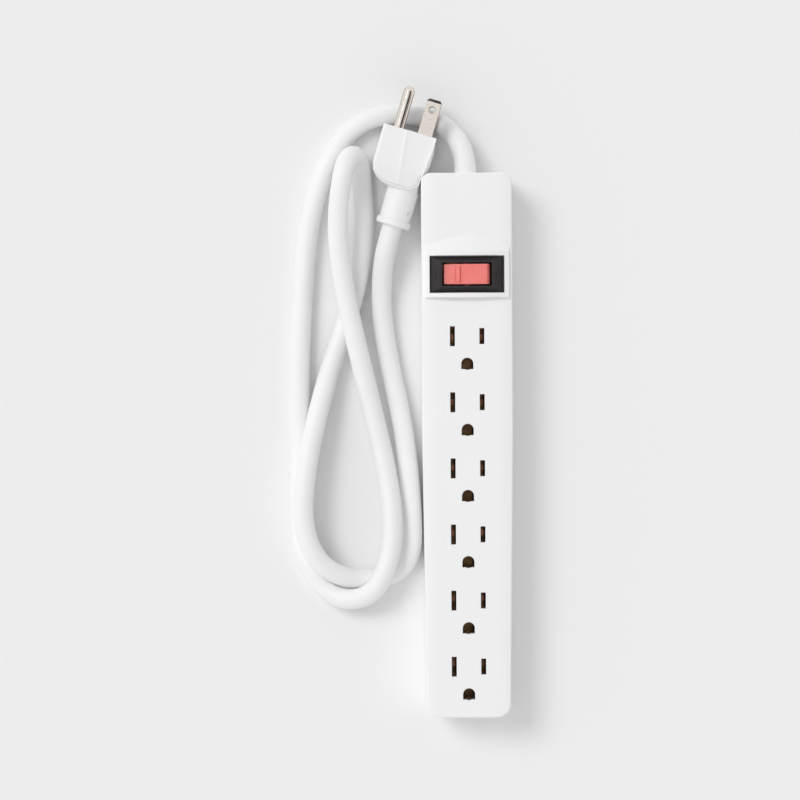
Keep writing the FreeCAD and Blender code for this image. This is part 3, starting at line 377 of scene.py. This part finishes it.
class Graph:
    """A small helper to build a node material."""

    def __init__(self, name):
        self.material = bpy.data.materials.new(name)
        self.material.use_nodes = True
        self.tree = self.material.node_tree
        self.tree.nodes.clear()
        self.output = self.add("ShaderNodeOutputMaterial")
        self.shader = self.add("ShaderNodeBsdfPrincipled")
        self.link(self.shader.outputs[0], self.output.inputs[0])
        self.place = self.add("ShaderNodeTexCoord").outputs["Object"]

    def add(self, kind, **settings):
        node = self.tree.nodes.new(kind)
        for key, value in settings.items():
            setattr(node, key, value)
        return node

    def link(self, source, target):
        self.tree.links.new(source, target)

    def noise(self, scale, detail=3.0, rough=0.5):
        node = self.add("ShaderNodeTexNoise")
        node.inputs["Scale"].default_value = scale
        node.inputs["Detail"].default_value = detail
        node.inputs["Roughness"].default_value = rough
        self.link(self.place, node.inputs["Vector"])
        return node.outputs["Fac"]

    def spread(self, value, low, high, start=0.3, end=0.7):
        node = self.add("ShaderNodeMapRange")
        node.inputs["From Min"].default_value = start
        node.inputs["From Max"].default_value = end
        node.inputs["To Min"].default_value = low
        node.inputs["To Max"].default_value = high
        self.link(value, node.inputs["Value"])
        return node.outputs[0]

    def blend(self, value, first, second):
        node = self.add("ShaderNodeMix", data_type="RGBA")
        for index, colour in zip(MIX_COLOUR_INPUTS, (first, second)):
            socket = node.inputs[index]
            if hasattr(colour, "is_output"):
                self.link(colour, socket)
            else:
                socket.default_value = (*colour, 1)
        self.link(value, node.inputs["Factor"])
        return node.outputs["Result"]

    def bump(self, height, distance, strength=1.0):
        node = self.add("ShaderNodeBump")
        node.inputs["Strength"].default_value = strength
        node.inputs["Distance"].default_value = distance
        self.link(height, node.inputs["Height"])
        return node.outputs[0]

    def set(self, **values):
        for key, value in values.items():
            socket = self.shader.inputs[key.replace("_", " ")]
            if hasattr(value, "is_output"):
                self.link(value, socket)
            else:
                socket.default_value = value


def plastic(name, light, dark, rough, grain=900, grain_depth=0.00002, gloss=0.5):
    """Moulded plastic: a fine spark-eroded grain, faint mottling and handling marks in the sheen."""
    g = Graph(name)
    mottle = g.noise(45, 4)
    g.set(Base_Color=g.blend(g.spread(mottle, 0, 1), light, dark))
    wear = g.noise(160, 5, 0.6)
    g.set(Roughness=g.spread(wear, rough - 0.05, rough + 0.07))
    g.set(Normal=g.bump(g.noise(grain, 2), grain_depth, 0.5))
    g.shader.inputs["Specular IOR Level"].default_value = gloss
    return g.material


def metal(name, light, dark, rough):
    """Rolled or plated metal: faint stains and a fine grain."""
    g = Graph(name)
    g.set(Base_Color=g.blend(g.spread(g.noise(120, 5), 0, 1), light, dark))
    g.set(Metallic=1.0)
    g.set(Roughness=g.spread(g.noise(300, 4, 0.6), rough - 0.08, rough + 0.1))
    g.set(Normal=g.bump(g.noise(700, 2), 0.00001, 0.4))
    return g.material


def plated_pin():
    """Nickel over brass: warm and finely specked, with painted shade darkening its sides."""
    g = Graph("pin_nickel")
    specks = g.blend(g.spread(g.noise(1900, 2), 0, 1, 0.56, 0.72), (0.93, 0.86, 0.79), (0.66, 0.59, 0.52))
    facing = g.add("ShaderNodeSeparateXYZ")
    g.link(g.add("ShaderNodeNewGeometry").outputs["Normal"], facing.inputs[0])
    # painted shade: where the normal turns away from up, the colour is blended towards dark brown,
    # standing in for shaded, darkly reflecting sides
    side = g.spread(facing.outputs["Z"], 1, 0, 0.25, 0.6)
    g.set(Base_Color=g.blend(side, specks, (0.16, 0.12, 0.09)), Metallic=1.0)
    g.set(Roughness=g.spread(g.noise(300, 4), 0.10, 0.18))
    g.set(Normal=g.bump(g.noise(900, 2), 0.000004, 0.3))
    return g.material


def rocker_plastic():
    """Clear red plastic that lets the lamp's light through."""
    g = Graph("rocker_red")
    g.set(Base_Color=g.blend(g.spread(g.noise(220, 3), 0, 1), (0.98, 0.25, 0.23), (0.95, 0.22, 0.20)))
    g.set(Roughness=g.spread(g.noise(400, 3), 0.16, 0.28))
    g.set(Subsurface_Weight=0.5)
    g.shader.inputs["Subsurface Radius"].default_value = (0.004, 0.0006, 0.0006)
    g.shader.inputs["Subsurface Scale"].default_value = 1.0
    g.set(Normal=g.bump(g.noise(900, 2), 0.00001, 0.4))
    return g.material


def lamp_glass():
    g = Graph("lamp_glass")
    g.set(Base_Color=g.blend(g.spread(g.noise(500), 0, 1), (0.95, 0.8, 0.72), (0.9, 0.7, 0.6)))
    g.set(Roughness=g.spread(g.noise(200), 0.03, 0.09), Transmission_Weight=0.8)
    g.set(Emission_Color=(1.0, 0.35, 0.12, 1), Emission_Strength=0.15)
    return g.material


def make_materials():
    white, white_dark = (0.94, 0.94, 0.94), (0.93, 0.93, 0.93)
    cord, cord_dark = (0.935, 0.935, 0.94), (0.92, 0.92, 0.925)
    return {
        "outer_plastic": plastic("outer_plastic", white, white_dark, 0.42),
        "cord_jacket": plastic("cord_jacket", cord, cord_dark, 0.5, 500, 0.00003),
        "plug_plastic": plastic("plug_plastic", cord, cord_dark, 0.48, 600, 0.00003),
        "bushing_rubber": plastic("bushing_rubber", (0.85, 0.85, 0.85), (0.82, 0.82, 0.82), 0.55, 500,
                                  0.00003),
        "switch_black": plastic("switch_black", (0.021, 0.018, 0.019), (0.028, 0.024, 0.025), 0.42, 1100,
                                0.00002, 0.35),
        "rocker_red": rocker_plastic(),
        "phenolic": plastic("phenolic", (0.055, 0.03, 0.02), (0.08, 0.045, 0.03), 0.6),
        "resistor_coat": plastic("resistor_coat", (0.6, 0.48, 0.28), (0.5, 0.38, 0.2), 0.5),
        "wire_black": plastic("wire_black", (0.02, 0.02, 0.02), (0.03, 0.03, 0.03), 0.45),
        "wire_white": plastic("wire_white", (0.8, 0.8, 0.78), (0.74, 0.74, 0.72), 0.45),
        "wire_green": plastic("wire_green", (0.02, 0.22, 0.06), (0.03, 0.28, 0.08), 0.45),
        "pin_nickel": plated_pin(),
        "brass": metal("brass", (0.30, 0.18, 0.09), (0.22, 0.13, 0.07), 0.34),
        "copper": metal("copper", (0.70, 0.34, 0.20), (0.58, 0.27, 0.15), 0.34),
        "silver_contact": metal("silver_contact", (0.75, 0.75, 0.73), (0.6, 0.6, 0.58), 0.3),
        "screw_steel": metal("screw_steel", (0.58, 0.58, 0.57), (0.48, 0.48, 0.47), 0.34),
        "spring_steel": metal("spring_steel", (0.5, 0.5, 0.52), (0.42, 0.42, 0.44), 0.3),
        "lamp_glass": lamp_glass(),
    }


def finish_with(piece, material):
    piece.data.materials.clear()
    piece.data.materials.append(material)


def dress_nodes(materials):
    for subpart in frame["record"]["subparts"]:
        finish_with(nodes[subpart["node"]], materials[subpart["material_slot"]])


# ---------------------------------------------------------------- floor and light
FLOOR_HALF = 6
FLOOR_DROP = 0.1 * MM     # keeps the floor clear of the casing's flat back


def add_floor():
    bm = bmesh.new()
    bmesh.ops.create_grid(bm, x_segments=2, y_segments=2, size=FLOOR_HALF)
    mesh = bpy.data.meshes.new("floor")
    bm.to_mesh(mesh)
    bm.free()
    floor = bpy.data.objects.new("floor", mesh)
    floor.location.z = -FLOOR_DROP
    scene.collection.objects.link(floor)
    g = Graph("floor")
    g.set(Base_Color=(0.92, 0.92, 0.92, 1), Roughness=0.9)
    g.shader.inputs["Specular IOR Level"].default_value = 0.1
    floor.data.materials.append(g.material)


SKY_STRENGTH = 0.785
KEY_FROM = (-0.57, 0.45, 1.0)
KEY_ANGLE = 24            # degrees across, for soft edges to the shadows
KEY_STRENGTH = 0.94
PANEL_DARKNESS = 0.95


def add_world():
    """A bright even surround with two dark panels in it, for the plated pins to reflect."""
    world = bpy.data.worlds.new("world")
    world.use_nodes = True
    tree = world.node_tree
    scene.world = world

    def math_node(operation, first, second=0.0):
        node = tree.nodes.new("ShaderNodeMath")
        node.operation = operation
        for socket, value in zip(node.inputs, (first, second)):
            if hasattr(value, "is_output"):
                tree.links.new(value, socket)
            else:
                socket.default_value = value
        return node.outputs[0]

    def within(value, low, high, soft=0.06):
        """1 between low and high, and 0 a little outside them."""
        node = tree.nodes.new("ShaderNodeMapRange")
        node.interpolation_type = "SMOOTHSTEP"
        off_centre = math_node("ABSOLUTE", math_node("SUBTRACT", value, (low + high) / 2))
        tree.links.new(off_centre, node.inputs["Value"])
        for name, number in (("From Min", (high - low) / 2), ("From Max", (high - low) / 2 + soft),
                             ("To Min", 1.0), ("To Max", 0.0)):
            node.inputs[name].default_value = number
        return node.outputs[0]

    axes = tree.nodes.new("ShaderNodeSeparateXYZ")
    tree.links.new(tree.nodes.new("ShaderNodeTexCoord").outputs["Generated"], axes.inputs[0])
    height = math_node("MAXIMUM", axes.outputs["Z"], 0.05)
    across = math_node("DIVIDE", axes.outputs["X"], height)
    along = math_node("DIVIDE", axes.outputs["Y"], height)
    side_panel = math_node("MULTIPLY", within(across, 0.25, 1.1), within(along, -0.5, 0.25))
    end_panel = math_node("MULTIPLY", within(across, -0.3, 0.3), within(along, 0.55, 0.95))
    panels = math_node("MAXIMUM", side_panel, end_panel)
    open_sky = math_node("SUBTRACT", 1.0, math_node("MULTIPLY", panels, PANEL_DARKNESS))
    strength = math_node("MULTIPLY", open_sky, SKY_STRENGTH)
    tree.links.new(strength, tree.nodes["Background"].inputs["Strength"])
    tree.nodes["Background"].inputs["Color"].default_value = (1, 1, 1, 1)


def add_key():
    data = bpy.data.lights.new("key", "SUN")
    data.angle = math.radians(KEY_ANGLE)
    data.energy = KEY_STRENGTH
    light = bpy.data.objects.new("key", data)
    light.location = KEY_FROM
    light.rotation_euler = (-Vector(KEY_FROM)).to_track_quat("-Z", "Y").to_euler()
    scene.collection.objects.link(light)


scene.view_settings.view_transform = "Standard"
add_camera()
cord, cord_line = add_cord()
sleeve = add_strain_relief(cord_line)
plug = add_plug()
spring = add_spring()
materials = make_materials()
dress_nodes(materials)
finish_with(cord, materials["cord_jacket"])
finish_with(sleeve, materials["cord_jacket"])
finish_with(plug, materials["plug_plastic"])
finish_with(spring, materials["spring_steel"])
add_floor()
add_world()
add_key()
bpy.context.view_layer.update()
